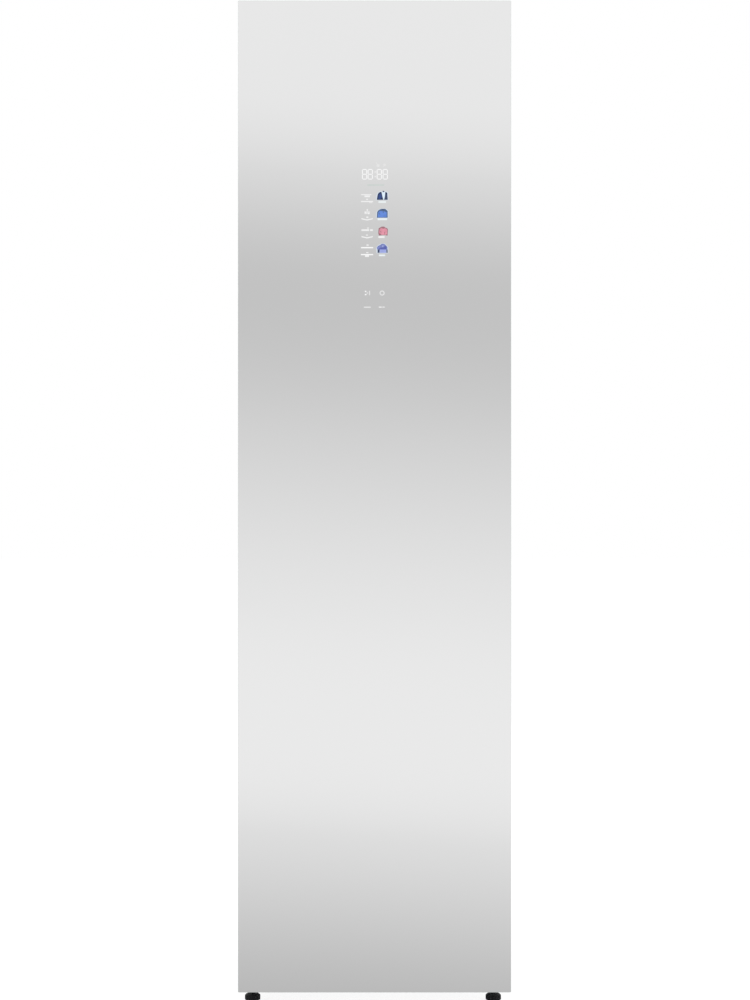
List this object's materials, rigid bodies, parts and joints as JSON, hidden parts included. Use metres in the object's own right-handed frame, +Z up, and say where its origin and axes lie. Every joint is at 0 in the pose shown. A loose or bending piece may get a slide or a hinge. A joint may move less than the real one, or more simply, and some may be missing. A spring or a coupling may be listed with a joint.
{
  "type": "clothes care steam cabinet",
  "caption": "Tall steam cabinet for clothes: full-height mirror door with a touch display, shaken hanger rail, shelf, lift-out filter, water tanks and levelling feet.",
  "frame": {"origin": "on the floor, under the middle of the cabinet's overall box", "axes": "+Z up, the door faces -Y, +X to the right as seen from the front"},
  "size_m": [0.5, 0.59, 1.85],
  "materials": {
    "mirror": "silver mirror glass",
    "door_frame": "satin silver grey",
    "panel": "satin silver paint",
    "front_frame": "satin white paint",
    "cover": "fine grain",
    "galvanised": "galvanised",
    "foot": "hard black rubber",
    "hinge": "plated",
    "screw": "plated",
    "gland": "moulded",
    "liner": "fine satin",
    "grille": "fine satin",
    "felt": "pressed felt",
    "shelf": "fine satin",
    "lens": "frosted",
    "bracket": "moulded grey",
    "nylon": "natural",
    "motor": "satin",
    "bay": "moulded grey",
    "tank_clear": "tinted",
    "tank_grey": "tinted",
    "lid": "moulded",
    "duct": "moulded",
    "fins": "plain",
    "compressor": "gloss black",
    "rubber": "soft",
    "boiler": "cast",
    "hose": "silicone",
    "nozzle": "moulded",
    "pump": "moulded",
    "copper": "drawn copper",
    "board": "solder mask",
    "gasket": "soft grey",
    "housing": "moulded black",
    "chrome": "polished",
    "hanger": "moulded",
    "impeller": "moulded",
    "filter": "moulded",
    "cartridge": "moulded"
  },
  "bodies": {
    "cabinet": {"side_panel_left": "panel", "side_panel_right": "panel", "front_frame": "front_frame", "top_cover": "cover", "rear_panel": "galvanised", "base_pan": "galvanised", "rear_feet": "foot", "top_hinge": "hinge", "bottom_hinge": "hinge", "hinge_screws": "screw", "case_screws": "screw", "cord_gland": "gland", "chamber_liner": "liner", "shelf_rails": "liner", "floor_grille": "grille", "insulation": "felt", "shelf": "shelf", "lamp_lens": "lens", "rail_brackets": "bracket", "rail_bushes": "nylon", "shaker_bridge": "galvanised", "shaker_motor": "motor", "tank_bay": "bay", "supply_tank": "tank_clear", "drain_tank": "tank_grey", "tank_lids": "lid", "air_duct": "duct", "evaporator": "fins", "condenser": "fins", "fan_housing": "duct", "fan_motor": "motor", "compressor": "compressor", "compressor_mounts": "rubber", "steam_generator": "boiler", "steam_pipe": "hose", "steam_nozzle": "nozzle", "water_pumps": "pump", "water_hoses": "hose", "refrigerant_pipes": "copper", "control_box": "bay", "control_board": "board"},
    "door": {"door_glass": "mirror", "door_frame": "door_frame", "door_bushes": "nylon", "door_insulation": "felt", "door_inner_panel": "liner", "door_gasket": "gasket", "display_housing": "housing", "display_board": "board"},
    "rail": {"hanger_rail": "chrome", "rail_yoke": "bracket"},
    "crank": {"crank": "hinge"},
    "hanger_left": {"hanger_left": "hanger"},
    "hanger_middle": {"hanger_middle": "hanger"},
    "hanger_right": {"hanger_right": "hanger"},
    "fan": {"fan_impeller": "impeller"},
    "filter": {"lint_filter": "filter"},
    "cartridge": {"scent_cartridge": "cartridge"},
    "foot_left": {"foot_front_left": "foot"},
    "foot_right": {"foot_front_right": "foot"}
  },
  "joints": [
    {"name": "door_swing", "type": "hinge", "parent": "cabinet", "child": "door", "pos_m": [-0.238, -0.268, 0.93], "axis": [0, 0, -1], "range_deg": [0, 110]},
    {"name": "rail_shake", "type": "slide", "parent": "cabinet", "child": "rail", "axis": [1, 0, 0], "range_m": [-0.012, 0.012]},
    {"name": "crank_spin", "type": "hinge", "parent": "cabinet", "child": "crank", "pos_m": [0.047, 0, 1.68], "axis": [0, 0, 1], "continuous": true},
    {"name": "hanger_left_swing", "type": "hinge", "parent": "rail", "child": "hanger_left", "pos_m": [-0.103, 0, 1.64], "axis": [1, 0, 0], "range_deg": [-10, 10]},
    {"name": "hanger_middle_swing", "type": "hinge", "parent": "rail", "child": "hanger_middle", "pos_m": [-0.003, 0, 1.64], "axis": [1, 0, 0], "range_deg": [-10, 10]},
    {"name": "hanger_right_swing", "type": "hinge", "parent": "rail", "child": "hanger_right", "pos_m": [0.097, 0, 1.64], "axis": [1, 0, 0], "range_deg": [-10, 10]},
    {"name": "fan_spin", "type": "hinge", "parent": "cabinet", "child": "fan", "pos_m": [0.04, 0.16, 0.304], "axis": [0, 1, 0], "continuous": true},
    {"name": "filter_lift", "type": "slide", "parent": "cabinet", "child": "filter", "axis": [0, 0, 1], "range_m": [0, 0.1]},
    {"name": "cartridge_lift", "type": "slide", "parent": "cabinet", "child": "cartridge", "axis": [0, 0, 1], "range_m": [0, 0.04]},
    {"name": "foot_left_turn", "type": "hinge", "parent": "cabinet", "child": "foot_left", "pos_m": [-0.2282, -0.205, 0.03], "axis": [0, 0, 1], "continuous": true},
    {"name": "foot_right_turn", "type": "hinge", "parent": "cabinet", "child": "foot_right", "pos_m": [0.2222, -0.205, 0.03], "axis": [0, 0, 1], "continuous": true}
  ]
}
